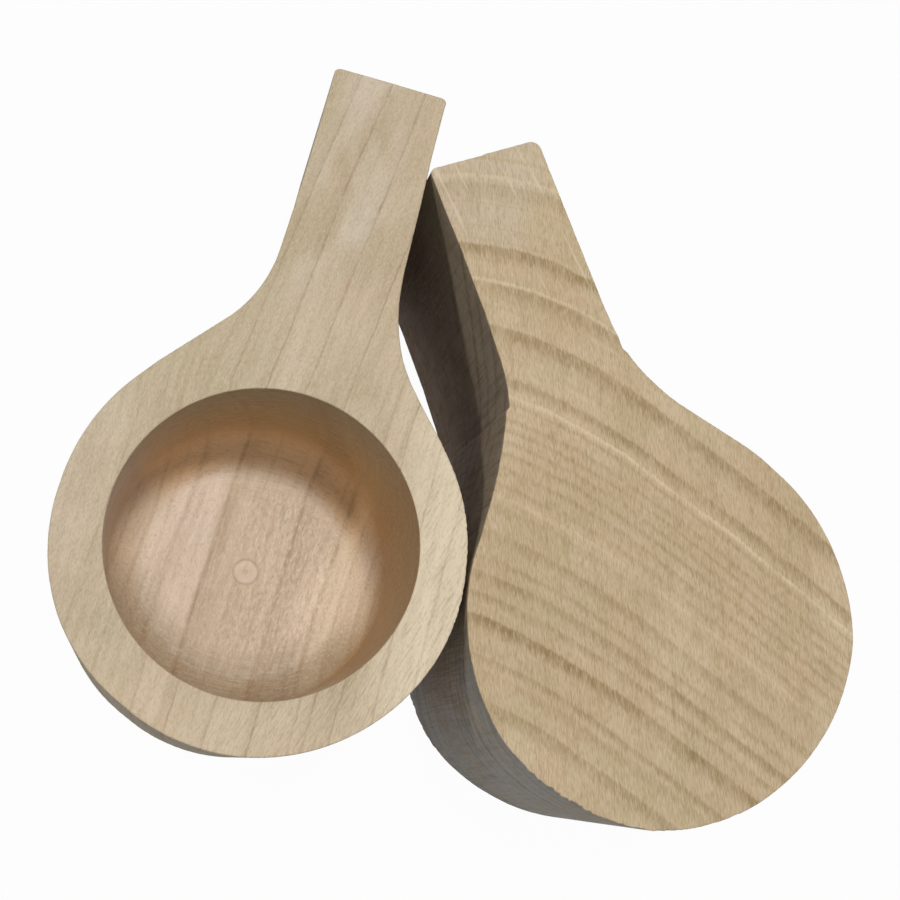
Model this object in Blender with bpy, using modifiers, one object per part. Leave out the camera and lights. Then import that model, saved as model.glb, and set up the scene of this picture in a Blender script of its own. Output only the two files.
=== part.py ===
"""Two roughed-out kuksa cups in solid wood, lying pushed together on a table.

Each cup is one block, sawn to a round body with a straight handle and bored with a
flat-bottomed bowl. One lies face up, the other face down with its sawn underside showing.
The origin is on the table under the face-up bowl's centre, with that handle along +Y.
All sizes are in metres.
"""

import math

import bmesh
import bpy

# Bowl, bored alike in both cups
BOWL_RADIUS = 0.0380
BOWL_DEPTH = 0.0574
BOWL_CORNER_RADIUS = 0.0100
RIM_BREAK = 0.0004

# Sawn block, face-up cup
BLOCK_HEIGHT = 0.0776
BODY_RADIUS = 0.0505
HANDLE_WIDTH = 0.0311
HANDLE_REACH = 0.1279
HANDLE_CORNER_RADIUS = 0.0015
EDGE_BREAK = 0.0004

# Neck between body and handle, seen from above with the handle pointing away
LEFT_NECK_RADIUS = 0.0377
LEFT_SHOULDER = 0.0274
RIGHT_NECK_RADIUS = 0.0494
RIGHT_SHOULDER = 0.0187

# The face-down cup was sawn a little outside the same line
FACE_DOWN_BODY_EXTRA = 0.0017
FACE_DOWN_WIDTH_EXTRA = 0.0010
FACE_DOWN_REACH_EXTRA = 0.0038

# How the two lie together
BESIDE_ANGLE = math.radians(4.4)
CONTACT_GAP = 0.0003

# Fineness of the round stretches
ARC_STEP = math.radians(6.0)
CORNER_STEP = math.radians(30.0)
BOWL_SIDES = 72
EDGE_SEGMENTS = 2

# Making and shading
CUTTER_OVERSHOOT = 0.0050
WELD_DISTANCE = 0.00001
SHARP_ANGLE = math.radians(35.0)
PLANED_WOOD = (0.60, 0.49, 0.36, 1.0)
SAWN_WOOD = (0.55, 0.43, 0.28, 1.0)
PLANED_ROUGHNESS = 0.55
SAWN_ROUGHNESS = 0.85


def clear_scene():
    for old in list(bpy.data.objects):
        bpy.data.objects.remove(old, do_unlink=True)


def make_collection(name):
    collection = bpy.data.collections.new(name)
    bpy.context.scene.collection.children.link(collection)
    return collection


def make_material(name, colour, roughness):
    material = bpy.data.materials.new(name)
    material.use_nodes = True
    shader = material.node_tree.nodes["Principled BSDF"]
    shader.inputs["Base Color"].default_value = colour
    shader.inputs["Roughness"].default_value = roughness
    shader.inputs["Metallic"].default_value = 0.0
    return material


def arc(centre_x, centre_y, radius, start, stop, step):
    """Points on an arc from start to stop, both ends included."""
    count = max(1, math.ceil(abs(stop - start) / step))
    angles = [start + (stop - start) * index / count for index in range(count + 1)]
    return [(centre_x + radius * math.cos(a), centre_y + radius * math.sin(a)) for a in angles]


def half_outline(body_radius, handle_width, handle_reach, neck_radius, shoulder):
    """One side at negative X, from the foot of the body to the handle's end.

    The body's circle runs into a straight shoulder, which touches both the circle and the
    neck's hollow curve, and the neck runs into the handle's straight side.
    """
    half_width = handle_width / 2
    reach_of_curves = body_radius + neck_radius
    neck_x = -(half_width + neck_radius)
    neck_y = math.sqrt(reach_of_curves ** 2 + shoulder ** 2 - neck_x ** 2)
    touch = math.atan2(neck_y, neck_x) + math.atan2(shoulder, reach_of_curves)
    foot = 1.5 * math.pi
    body = arc(0.0, 0.0, body_radius, foot, touch, ARC_STEP)
    neck = arc(neck_x, neck_y, neck_radius, touch - math.pi, 0.0, ARC_STEP)
    corner_x = -half_width + HANDLE_CORNER_RADIUS
    corner_y = handle_reach - HANDLE_CORNER_RADIUS
    corner = arc(corner_x, corner_y, HANDLE_CORNER_RADIUS, math.pi, math.pi / 2, CORNER_STEP)
    return body + neck + corner


def cup_outline(body_radius, handle_width, handle_reach):
    left = half_outline(body_radius, handle_width, handle_reach, LEFT_NECK_RADIUS, LEFT_SHOULDER)
    right = half_outline(body_radius, handle_width, handle_reach, RIGHT_NECK_RADIUS, RIGHT_SHOULDER)
    mirrored = [(-x, y) for x, y in reversed(right)]
    foot_is_shared = mirrored[:-1]
    return left + foot_is_shared


def sawn_block(name, outline, collection):
    """A flat outline of the block's height, as a welded mesh centred on the bowl's axis."""
    curve = bpy.data.curves.new(name + "_outline", "CURVE")
    curve.dimensions = "2D"
    curve.fill_mode = "BOTH"
    curve.extrude = BLOCK_HEIGHT / 2
    spline = curve.splines.new("POLY")
    spline.points.add(len(outline) - 1)
    for point, (x, y) in zip(spline.points, outline):
        point.co = (x, y, 0.0, 1.0)
    spline.use_cyclic_u = True
    outline_object = bpy.data.objects.new(name + "_outline", curve)
    collection.objects.link(outline_object)
    evaluated = outline_object.evaluated_get(bpy.context.evaluated_depsgraph_get())
    mesh = bpy.data.meshes.new_from_object(evaluated)
    welder = bmesh.new()
    welder.from_mesh(mesh)
    bmesh.ops.remove_doubles(welder, verts=welder.verts, dist=WELD_DISTANCE)
    welder.to_mesh(mesh)
    welder.free()
    mesh.name = name
    mesh.shade_smooth()
    mesh.set_sharp_from_angle(angle=SHARP_ANGLE)
    block = bpy.data.objects.new(name, mesh)
    block.matrix_world = outline_object.matrix_world
    collection.objects.link(block)
    bpy.data.objects.remove(outline_object, do_unlink=True)
    return block


def bowl_profile():
    """The bowl's section from the axis above the rim, down the wall and in to the floor."""
    rim = BLOCK_HEIGHT / 2
    floor = rim - BOWL_DEPTH
    above = rim + CUTTER_OVERSHOOT
    mouth = [(0.0, above), (BOWL_RADIUS + RIM_BREAK + CUTTER_OVERSHOOT, above)]
    wall_top = [(BOWL_RADIUS, rim - RIM_BREAK)]
    inset = BOWL_RADIUS - BOWL_CORNER_RADIUS
    corner_height = floor + BOWL_CORNER_RADIUS
    corner = arc(inset, corner_height, BOWL_CORNER_RADIUS, 0.0, -math.pi / 2, 2 * ARC_STEP)
    return mouth + wall_top + corner + [(0.0, floor)]


def bowl_cutter(name, block, collection):
    profile = bowl_profile()
    mesh = bpy.data.meshes.new(name)
    vertices = [(radius, 0.0, height) for radius, height in profile]
    edges = [(index, index + 1) for index in range(len(profile) - 1)]
    mesh.from_pydata(vertices, edges, [])
    cutter = bpy.data.objects.new(name, mesh)
    collection.objects.link(cutter)
    cutter.parent = block
    cutter.hide_render = True
    cutter.display_type = "WIRE"
    screw = cutter.modifiers.new("turned", "SCREW")
    screw.axis = "Z"
    screw.steps = BOWL_SIDES
    screw.render_steps = BOWL_SIDES
    screw.use_merge_vertices = True
    screw.merge_threshold = WELD_DISTANCE
    return cutter


def make_cup(name, outline, material, parts, cutters):
    block = sawn_block(name, outline, parts)
    block.data.materials.append(material)
    edge = block.modifiers.new("edge_break", "BEVEL")
    edge.width = EDGE_BREAK
    edge.segments = EDGE_SEGMENTS
    edge.limit_method = "ANGLE"
    edge.angle_limit = SHARP_ANGLE
    bowl = block.modifiers.new("bowl", "BOOLEAN")
    bowl.operation = "DIFFERENCE"
    bowl.solver = "EXACT"
    bowl.object = bowl_cutter(name + "_bowl", block, cutters)
    return block


def face_down_place(body_radius, handle_width, handle_reach):
    """Centre and turn of the flipped cup, touching the other at body and handle.

    Body rests against body. The cup then turns until its handle's near corner meets the
    straight side of the other handle.
    """
    apart = BODY_RADIUS + body_radius + CONTACT_GAP
    centre_x = apart * math.cos(BESIDE_ANGLE)
    centre_y = apart * math.sin(BESIDE_ANGLE)
    corner_x = handle_width / 2 - HANDLE_CORNER_RADIUS
    corner_y = handle_reach - HANDLE_CORNER_RADIUS
    swing = centre_x - HANDLE_WIDTH / 2 - CONTACT_GAP - HANDLE_CORNER_RADIUS
    turn = math.asin(swing / math.hypot(corner_x, corner_y)) - math.atan2(corner_x, corner_y)
    return centre_x, centre_y, turn


def build():
    clear_scene()
    parts = make_collection("kuksa")
    cutters = make_collection("kuksa_cutters")

    planed = make_material("planed_wood", PLANED_WOOD, PLANED_ROUGHNESS)
    outline = cup_outline(BODY_RADIUS, HANDLE_WIDTH, HANDLE_REACH)
    face_up = make_cup("kuksa_face_up", outline, planed, parts, cutters)
    face_up.location = (0.0, 0.0, BLOCK_HEIGHT / 2)

    sawn = make_material("sawn_wood", SAWN_WOOD, SAWN_ROUGHNESS)
    body_radius = BODY_RADIUS + FACE_DOWN_BODY_EXTRA
    handle_width = HANDLE_WIDTH + FACE_DOWN_WIDTH_EXTRA
    handle_reach = HANDLE_REACH + FACE_DOWN_REACH_EXTRA
    outline = cup_outline(body_radius, handle_width, handle_reach)
    face_down = make_cup("kuksa_face_down", outline, sawn, parts, cutters)
    centre_x, centre_y, turn = face_down_place(body_radius, handle_width, handle_reach)
    face_down.location = (centre_x, centre_y, BLOCK_HEIGHT / 2)
    face_down.rotation_euler = (0.0, math.pi, turn)


build()
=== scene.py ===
import math

import bmesh
import bpy
import numpy as np
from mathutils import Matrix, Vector, noise


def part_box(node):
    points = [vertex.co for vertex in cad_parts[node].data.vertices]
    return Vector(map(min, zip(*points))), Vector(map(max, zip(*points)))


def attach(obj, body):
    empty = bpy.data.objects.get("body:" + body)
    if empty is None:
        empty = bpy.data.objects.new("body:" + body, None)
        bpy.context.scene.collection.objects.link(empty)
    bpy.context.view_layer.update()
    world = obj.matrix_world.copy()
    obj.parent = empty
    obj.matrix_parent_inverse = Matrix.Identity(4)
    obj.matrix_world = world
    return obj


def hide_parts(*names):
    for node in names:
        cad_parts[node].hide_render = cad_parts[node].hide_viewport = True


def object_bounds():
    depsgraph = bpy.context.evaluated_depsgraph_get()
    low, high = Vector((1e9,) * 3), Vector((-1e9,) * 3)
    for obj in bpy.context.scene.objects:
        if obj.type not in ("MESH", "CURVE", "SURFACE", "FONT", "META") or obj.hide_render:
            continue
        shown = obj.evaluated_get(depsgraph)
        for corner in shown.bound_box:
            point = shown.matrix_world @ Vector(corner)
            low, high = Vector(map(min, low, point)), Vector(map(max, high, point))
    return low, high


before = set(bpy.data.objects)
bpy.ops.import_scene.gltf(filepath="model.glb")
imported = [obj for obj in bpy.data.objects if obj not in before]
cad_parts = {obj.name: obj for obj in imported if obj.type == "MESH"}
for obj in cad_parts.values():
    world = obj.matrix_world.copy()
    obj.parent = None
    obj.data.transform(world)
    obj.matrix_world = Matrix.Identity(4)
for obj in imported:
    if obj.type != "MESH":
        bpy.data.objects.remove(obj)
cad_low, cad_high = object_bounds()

# Sizes of the cups in metres; height and reach are read from the frame
_, up_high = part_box("kuksa_face_up")
HEIGHT = up_high.z
BODY_RADIUS = 0.0505
# As fitted to the photo, the handles end a little inside the solids' ends
HANDLE_END_TRIM = 0.0004
HANDLE_REACH = up_high.y - HANDLE_END_TRIM
HANDLE_WIDTH = 0.0311
HANDLE_CORNER_RADIUS = 0.0015
LEFT_NECK_RADIUS = 0.0377
LEFT_SHOULDER = 0.0274
RIGHT_NECK_RADIUS = 0.0494
RIGHT_SHOULDER = 0.0187
BOWL_RADIUS = 0.0380
BOWL_DEPTH = 0.0574
BOWL_CORNER_RADIUS = 0.0100
FACE_DOWN_BODY_EXTRA = 0.0017
FACE_DOWN_WIDTH_EXTRA = 0.0010
FACE_DOWN_REACH_EXTRA = 0.0038
BESIDE_ANGLE = math.radians(4.4)
CONTACT_GAP = 0.0003

# Worn edges and the marks of saw and lathe, in metres
EDGE_ROUND = 0.00035
EDGE_BAND = 2 * EDGE_ROUND
RIM_ROUND = 0.00035
RIM_BAND = 2 * RIM_ROUND
WORN_CORNER_RADIUS = 0.0026
NEAR_CORNER_RADIUS = 0.0018
END_SLANT = 0.048
END_SLANT_LENGTH = 0.020
SAW_SWAY = 0.00016
SAW_SWAY_LENGTH = 0.016
SAW_SWAY_STRETCH = 12
SAW_RIPPLE = 0.00005
SAW_RIPPLE_LENGTH = 0.0021
TEAR_LENGTH = 0.0011
TEAR_SPREAD = math.radians(28.0)
TEAR_EVERYWHERE = 0.12
TEAR_CONTRAST = 2.2
TEAR_LEVEL = 0.41
FOOT_TEAR = 0.00060
FOOT_TEAR_TOWARD = math.radians(-42.0)
TOP_TEAR = 0.00030
TOP_TEAR_TOWARD = math.radians(8.0)
MARK_RADIUS = 0.0033
MARK_WIDTH = 0.0004
MARK_REACH = 3 * MARK_WIDTH
MARK_DEPTH = 0.00008
PIN_RADIUS = 0.0006
PIN_DEPTH = 0.0003
UP_SEED = 3.1
DOWN_SEED = 7.4
SEED_STEP = 0.5

# Where the saw left the drawn line: millimetres along the edge from the foot, and inside the line
UP_LEFT_WANDER = (
    (0, -0.3), (10, -0.1), (22, 0.3), (32, 0.0), (46, -0.2), (60, 0.0), (80, 0.5), (100, 0.1),
    (118, -0.5), (140, 0.2), (163, -0.5), (185, 0.1), (214, 0.25), (218, -0.1), (232, -0.2),
)
UP_RIGHT_WANDER = (
    (0, -0.3), (8, -0.4), (25, -0.3), (68, 0.0), (86, 0.4), (104, 0.0), (119, -0.2), (130, 0.2),
    (142, 0.4), (152, 0.0), (163, -0.5), (186, -0.1), (200, 0.25), (214, 0.3), (218, -0.1), (232, -0.2),
)
DOWN_LEFT_WANDER = (
    (0, 0.6), (10, 0.8), (28, 0.7), (48, -0.2), (58, -0.8), (78, -0.2), (109, 0.2), (119, -0.4),
    (141, 0.0), (150, -0.8), (160, -0.8), (162, -0.2), (165, -0.8), (175, -0.4), (222, -0.2), (239, -0.1),
)
DOWN_RIGHT_WANDER = (
    (0, 0.7), (12, 0.3), (24, -0.1), (45, 0.2), (69, -0.4), (81, 0.0), (96, 0.4), (120, 0.4), (132, -0.2),
    (141, -1.2), (148, -1.4), (155.2, -1.0), (155.8, -0.1), (172, -0.2), (182, 0.3), (200, 0.4), (213, 0.1),
)

# Where the face-down cup's right side spreads towards its face, with millimetres outside the line
NO_SPREAD = ((0, 0.0), (1, 0.0))
DOWN_SPREAD = ((30, 0.1), (55, 0.3), (72, 0.8), (84, 0.8), (98, 0.0))

# Fineness of the meshes
OUTLINE_SPACING = 0.0006
ARC_STEP = math.radians(1.0)
ARC_FEWEST = 2
EDGE_STEPS = 4
FACE_RINGS = 10
SIDE_RINGS = 26
WALL_RINGS = 16
CORNER_RINGS = 12
FLOOR_RINGS = 32

# Camera, fitted to the photograph
CAMERA_PLACE = (-0.01735, -0.05591, 0.39976)
CAMERA_TURN = (12.797, -13.188, 13.502)
CAMERA_LENS = 53.80
CAMERA_SENSOR = 36.0
CAMERA_NEAREST = 0.01

# Light and floor
KEY_PLACE = (0.02, 0.34, 2.05)
KEY_SIZE = 0.24
KEY_POWER = 22.8
KEY_COLOUR = (1.0, 0.96, 0.90)
FILL_PLACE = (-1.35, 0.14, 1.45)
FILL_SIZE = 0.15
FILL_POWER = 7.2
FILL_COLOUR = (1.0, 1.0, 1.0)
NEAR_PLACE = (0.10, -0.95, 1.20)
NEAR_SIZE = 0.90
NEAR_POWER = 2.4
NEAR_COLOUR = (0.68, 0.85, 1.0)
SKY_COLOUR = (0.86, 0.94, 1.0, 1.0)
SKY_STRENGTH = 0.13
WHITE = (1.0, 1.0, 1.0, 1.0)
FLOOR_COLOUR = (0.45, 0.47, 0.50, 1.0)
FLOOR_ROUGHNESS = 0.9
FLOOR_SIZE = 6.0
FLOOR_GLOW = 0.97

# Heights of the face-up cup's rim and bowl floor in millimetres, as the materials count
MILLIMETRES = 1000.0
RIM_LEVEL = HEIGHT * MILLIMETRES
FLOOR_LEVEL = (HEIGHT - BOWL_DEPTH) * MILLIMETRES


# Outline of a cup

def arc(centre_x, centre_y, radius, start, stop):
    """Points on an arc from start to stop, both ends included."""
    count = max(ARC_FEWEST, math.ceil(abs(stop - start) / ARC_STEP))
    angles = np.linspace(start, stop, count + 1)
    return np.stack([centre_x + radius * np.cos(angles), centre_y + radius * np.sin(angles)], axis=1)


def half_outline(body_radius, handle_width, handle_reach, neck_radius, shoulder, corner_radius):
    """One side at negative X, from the foot of the body to the handle's end."""
    half_width = handle_width / 2
    reach_of_curves = body_radius + neck_radius
    neck_x = -(half_width + neck_radius)
    neck_y = math.sqrt(reach_of_curves ** 2 + shoulder ** 2 - neck_x ** 2)
    touch = math.atan2(neck_y, neck_x) + math.atan2(shoulder, reach_of_curves)
    foot = 1.5 * math.pi
    corner_x = -half_width + corner_radius
    corner_y = handle_reach - corner_radius
    body = arc(0.0, 0.0, body_radius, foot, touch)
    neck = arc(neck_x, neck_y, neck_radius, touch - math.pi, 0.0)
    corner = arc(corner_x, corner_y, corner_radius, math.pi, math.pi / 2)
    return np.concatenate([body, neck, corner])


def even_points(points):
    """The closed outline with its points spread evenly along it, and how far along each lies."""
    closed = np.concatenate([points, points[:1]])
    steps = np.hypot(*np.diff(closed, axis=0).T)
    along = np.concatenate([[0.0], np.cumsum(steps)])
    count = round(along[-1] / OUTLINE_SPACING)
    wanted = np.arange(count) * along[-1] / count
    spread = np.stack([np.interp(wanted, along, closed[:, axis]) for axis in (0, 1)], axis=1)
    return spread, wanted


def cup_outline(body_radius, handle_width, handle_reach, left_corner, right_corner):
    size = (body_radius, handle_width, handle_reach)
    left = half_outline(*size, LEFT_NECK_RADIUS, LEFT_SHOULDER, left_corner)
    right = half_outline(*size, RIGHT_NECK_RADIUS, RIGHT_SHOULDER, right_corner)
    mirrored = right[::-1] * np.array([-1.0, 1.0])
    return even_points(np.concatenate([left, mirrored[:-1]]))


def slanted_end(outline, slant):
    """The outline with its handle's end sawn a little askew."""
    past = (outline[:, 1] - HANDLE_REACH + END_SLANT_LENGTH) / END_SLANT_LENGTH
    shift = slant * outline[:, 0] * np.clip(past, 0.0, 1.0)
    return outline + np.column_stack([np.zeros(len(outline)), shift])


def inward_normals(points):
    """Unit normals of a closed outline that runs clockwise."""
    ahead = np.roll(points, -1, axis=0) - np.roll(points, 1, axis=0)
    ahead /= np.hypot(*ahead.T)[:, None]
    return np.stack([ahead[:, 1], -ahead[:, 0]], axis=1)


# Surface of a cup

def sway(along, height, length, seed):
    """Smooth noise from 0 to 1 along the outline, one value per point."""
    places = [Vector((place / length, height / length / SAW_SWAY_STRETCH, seed)) for place in along]
    return np.array([0.5 + 0.5 * noise.noise(place) for place in places])


def saw_cut(along, height, seed):
    """How far the saw wandered inside the drawn line at each point."""
    slow = SAW_SWAY * sway(along, height, SAW_SWAY_LENGTH, seed)
    quick = SAW_RIPPLE * sway(along, height, SAW_RIPPLE_LENGTH, seed + SEED_STEP)
    return slow + quick - (SAW_SWAY + SAW_RIPPLE) / 2


def wander(along, left_line, right_line):
    """How far inside the drawn outline the saw ran; both sides are counted from the foot."""
    whole = along[-1] + along[1]
    left = np.interp(along * MILLIMETRES, *zip(*left_line))
    right = np.interp((whole - along) * MILLIMETRES, *zip(*right_line))
    return np.where(along < whole / 2, left, right) / MILLIMETRES


def torn_edge(outline, along, toward, depth, seed):
    """Depth of the fibres torn out of an edge, most where it faces the given way."""
    facing = np.arctan2(outline[:, 1], outline[:, 0])
    off = np.angle(np.exp(1j * (facing - toward)))
    where = TEAR_EVERYWHERE + (1 - TEAR_EVERYWHERE) * np.exp(-(off / TEAR_SPREAD) ** 2)
    rough = np.clip(TEAR_CONTRAST * (sway(along, 0.0, TEAR_LENGTH, seed) - TEAR_LEVEL), 0.0, 1.0)
    return depth * where * rough


def ring(points, height):
    return np.column_stack([points, np.full(len(points), height)])


def sawn_line(outline, along, off_line, spread, seed):
    """A function that gives the outline at a height, as the saw cut it and the edges tore.

    The side lies inside the outline by off_line, and at the face by that much less the spread.
    """
    inward = inward_normals(outline)
    foot_tear = torn_edge(outline, along, FOOT_TEAR_TOWARD, FOOT_TEAR, seed)
    top_tear = torn_edge(outline, along, TOP_TEAR_TOWARD, TOP_TEAR, seed + 2 * SEED_STEP)

    def cut(height):
        torn_foot = foot_tear * math.exp(-height / TEAR_LENGTH)
        torn_top = top_tear * math.exp((height - HEIGHT) / TEAR_LENGTH)
        torn = torn_foot + torn_top
        inside = off_line - spread * height / HEIGHT + saw_cut(along, height, seed) + torn
        return outline + inward * inside[:, None]

    return cut


def quarter_turn():
    """Angles over which an edge is rounded."""
    return np.linspace(0.0, math.pi / 2, EDGE_STEPS + 1)


def floor_relief(radius):
    """Height of the bowl's floor over its level: the ring and pin that the cutter left at its centre."""
    groove = -MARK_DEPTH * math.exp(-((radius - MARK_RADIUS) / MARK_WIDTH) ** 2)
    pin = -PIN_DEPTH * max(0.0, 1.0 - (radius / PIN_RADIUS) ** 2)
    return groove + pin


def floor_radii():
    """Radii of the rings on the bowl's floor, closer together over the cutter's mark."""
    flat = BOWL_RADIUS - BOWL_CORNER_RADIUS
    edge = MARK_RADIUS + MARK_REACH
    wide = np.linspace(flat, edge, FLOOR_RINGS // 2)[1:]
    near = np.linspace(edge, PIN_RADIUS, FLOOR_RINGS // 2)[1:]
    return [*wide, *near, PIN_RADIUS / 2]


def under_rings(cut, inward):
    """Flat underside from its middle outwards, and the rounded edge of the foot."""
    foot = cut(0.0)
    beside_foot = foot + inward * EDGE_BAND
    rings = [ring(beside_foot * share, 0.0) for share in np.linspace(0.0, 1.0, FACE_RINGS + 1)[1:]]
    for angle in quarter_turn():
        inset = EDGE_ROUND * (1 - math.sin(angle))
        rings.append(ring(foot + inward * inset, EDGE_ROUND * (1 - math.cos(angle))))
    return rings


def side_rings(cut):
    """Sawn side from the foot's edge up to the face's edge."""
    rings = []
    for share in np.linspace(0.0, 1.0, SIDE_RINGS + 1)[1:-1]:
        height = EDGE_ROUND + (HEIGHT - 2 * EDGE_ROUND) * share
        rings.append(ring(cut(height), height))
    rings.append(ring(cut(HEIGHT), HEIGHT - EDGE_ROUND))
    return rings


def face_rings(cut, inward, directions):
    """Rounded edge of the face, the flat face and the rounded rim of the bowl."""
    top = cut(HEIGHT)
    rings = []
    for angle in quarter_turn()[1:]:
        inset = EDGE_ROUND * (1 - math.cos(angle))
        rings.append(ring(top + inward * inset, HEIGHT - EDGE_ROUND * (1 - math.sin(angle))))
    beside_edge = top + inward * EDGE_BAND
    beside_rim = directions * (BOWL_RADIUS + RIM_BAND)
    for share in np.linspace(0.0, 1.0, FACE_RINGS + 1):
        rings.append(ring(beside_edge + (beside_rim - beside_edge) * share, HEIGHT))
    for angle in quarter_turn():
        radius = BOWL_RADIUS + RIM_ROUND * (1 - math.sin(angle))
        rings.append(ring(directions * radius, HEIGHT - RIM_ROUND * (1 - math.cos(angle))))
    return rings


def bowl_rings(directions):
    """Wall of the bowl from its rim down, the rounded corner and the floor to its middle."""
    floor = HEIGHT - BOWL_DEPTH
    corner_height = floor + BOWL_CORNER_RADIUS
    flat = BOWL_RADIUS - BOWL_CORNER_RADIUS
    rings = []
    for height in np.linspace(HEIGHT - RIM_ROUND, corner_height, WALL_RINGS + 1)[1:]:
        rings.append(ring(directions * BOWL_RADIUS, height))
    for angle in np.linspace(0.0, math.pi / 2, CORNER_RINGS + 1)[1:]:
        radius = flat + BOWL_CORNER_RADIUS * math.cos(angle)
        rings.append(ring(directions * radius, corner_height - BOWL_CORNER_RADIUS * math.sin(angle)))
    for radius in floor_radii():
        rings.append(ring(directions * radius, floor + floor_relief(radius)))
    return rings


def cup_rings(outline, along, off_line, spread, seed):
    """Closed rings from the underside, up the sides and down into the bowl, and the zone of each."""
    inward = inward_normals(outline)
    directions = outline / np.hypot(*outline.T)[:, None]
    cut = sawn_line(outline, along, off_line, spread, seed)
    stretches = {
        "under": under_rings(cut, inward),
        "side": side_rings(cut),
        "face": face_rings(cut, inward, directions),
        "bowl": bowl_rings(directions),
    }
    rings = [made for stretch in stretches.values() for made in stretch]
    zones = [zone for zone, stretch in stretches.items() for _ in stretch]
    return rings, zones


def cup_faces(count, levels):
    """Faces between neighbouring rings of count points, and fans over the first and the last ring."""
    faces = []
    for level in range(levels - 1):
        here, above = level * count, (level + 1) * count
        for index in range(count):
            after = (index + 1) % count
            faces.append((here + index, here + after, above + after, above + index))
    last = (levels - 1) * count
    low_middle = levels * count
    high_middle = low_middle + 1
    for index in range(count):
        after = (index + 1) % count
        faces.append((low_middle, after, index))
        faces.append((high_middle, last + index, last + after))
    return faces


def cup_object(name, rings, zones, place, materials):
    """One closed mesh through the rings, capped at its first and last ring, placed in the frame."""
    count = len(rings[0])
    pin_drop = floor_relief(0.0) - floor_relief(PIN_RADIUS / 2)
    low_middle = np.array([[0.0, 0.0, rings[0][0, 2]]])
    high_middle = np.array([[0.0, 0.0, rings[-1][0, 2] + pin_drop]])
    vertices = place(np.concatenate([*rings, low_middle, high_middle]))
    order = {zone: index for index, zone in enumerate(materials)}
    slots = [order[zone] for zone in zones[1:] for _ in range(count)]
    slots += [order[zones[0]], order[zones[-1]]] * count
    mesh = bpy.data.meshes.new(name)
    mesh.from_pydata(vertices.tolist(), [], cup_faces(count, len(rings)))
    for material in materials.values():
        mesh.materials.append(material)
    mesh.polygons.foreach_set("material_index", slots)
    turned = bmesh.new()
    turned.from_mesh(mesh)
    bmesh.ops.recalc_face_normals(turned, faces=turned.faces)
    turned.to_mesh(mesh)
    turned.free()
    mesh.shade_smooth()
    cup = bpy.data.objects.new(name, mesh)
    bpy.context.scene.collection.objects.link(cup)
    return cup


# Node graphs

# Noise: octaves from soft to rough, and what is common to all of it
SOFT = 2.0
ROUGH = 3.0
ROUGHEST = 4.0
NOISE_SCALE = 1.0
NOISE_ROUGHNESS = 0.55


class Graph:
    """Adds nodes to a material from plain expressions; values are sockets or numbers."""

    def __init__(self, name):
        self.material = bpy.data.materials.new(name)
        self.material.use_nodes = True
        self.tree = self.material.node_tree
        self.shader = self.tree.nodes["Principled BSDF"]

    def put(self, value, socket):
        if isinstance(value, bpy.types.NodeSocket):
            self.tree.links.new(value, socket)
        else:
            socket.default_value = value

    def node(self, kind, **settings):
        made = self.tree.nodes.new(kind)
        for name, value in settings.items():
            setattr(made, name, value)
        return made

    def math(self, operation, *values):
        made = self.node("ShaderNodeMath", operation=operation)
        for value, socket in zip(values, made.inputs):
            self.put(value, socket)
        return made.outputs[0]

    def add(self, *values):
        total = values[0]
        for value in values[1:]:
            total = self.math("ADD", total, value)
        return total

    def times(self, *values):
        product = values[0]
        for value in values[1:]:
            product = self.math("MULTIPLY", product, value)
        return product

    def ramp(self, value, start, stop, low=0.0, high=1.0):
        """From low to high while the value goes from start to stop, and level beyond them."""
        made = self.node("ShaderNodeMapRange", interpolation_type="SMOOTHSTEP")
        for given, socket in zip((value, start, stop, low, high), made.inputs):
            self.put(given, socket)
        return made.outputs[0]

    def vector(self, x, y, z):
        made = self.node("ShaderNodeCombineXYZ")
        for value, socket in zip((x, y, z), made.inputs):
            self.put(value, socket)
        return made.outputs[0]

    def noise(self, place, detail):
        made = self.node("ShaderNodeTexNoise")
        self.put(place, made.inputs["Vector"])
        made.inputs["Scale"].default_value = NOISE_SCALE
        made.inputs["Detail"].default_value = detail
        made.inputs["Roughness"].default_value = NOISE_ROUGHNESS
        return made.outputs["Fac"]

    def mix(self, share, first, second):
        made = self.node("ShaderNodeMix", data_type="RGBA")
        self.put(share, made.inputs["Factor"])
        self.put((*first, 1.0) if isinstance(first, tuple) else first, made.inputs["A"])
        self.put((*second, 1.0) if isinstance(second, tuple) else second, made.inputs["B"])
        return made.outputs["Result"]

    def place(self):
        """The point in the frame at rest, in millimetres, as x, y and z."""
        coordinates = self.node("ShaderNodeTexCoord").outputs["Object"]
        scaled = self.node("ShaderNodeVectorMath", operation="SCALE")
        self.put(coordinates, scaled.inputs[0])
        scaled.inputs["Scale"].default_value = MILLIMETRES
        split = self.node("ShaderNodeSeparateXYZ")
        self.put(scaled.outputs[0], split.inputs[0])
        return split.outputs


# Wood

# Colours that are laid over a finish
PALE = (0.780, 0.665, 0.490)
# CREAM is the paler wood on the planed face's right and, on the bowl floor's right, painted sheen
CREAM = (0.800, 0.680, 0.495)
# HAZE: painted sheen on the planed face; on the sawn underside, the rubbed end
HAZE = (0.680, 0.580, 0.465)
BLUSH = (0.760, 0.590, 0.415)
# BEIGE is painted shade in the bowl's near corner, and the dark of the floor's figure and centre groove
BEIGE = (0.400, 0.318, 0.218)
# Painted glow of light thrown back into the bowl's far corner
AMBER = (0.920, 0.630, 0.350)
# ROSE is painted sheen on the bowl floor's left, and the pale of its figure and centre disc
ROSE = (0.840, 0.705, 0.595)
# Painted shade on the bowl's walls: golden on the far wall, dusky towards its rim, umber on the right
WALL = (0.530, 0.310, 0.098)
DUSK = (0.430, 0.310, 0.172)
UMBER = (0.450, 0.265, 0.097)
# Painted shade, reddish, low on the face-down cup's left side where it faces the other cup
PAINTED_GAP_SHADE = (0.385, 0.258, 0.190)
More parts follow.
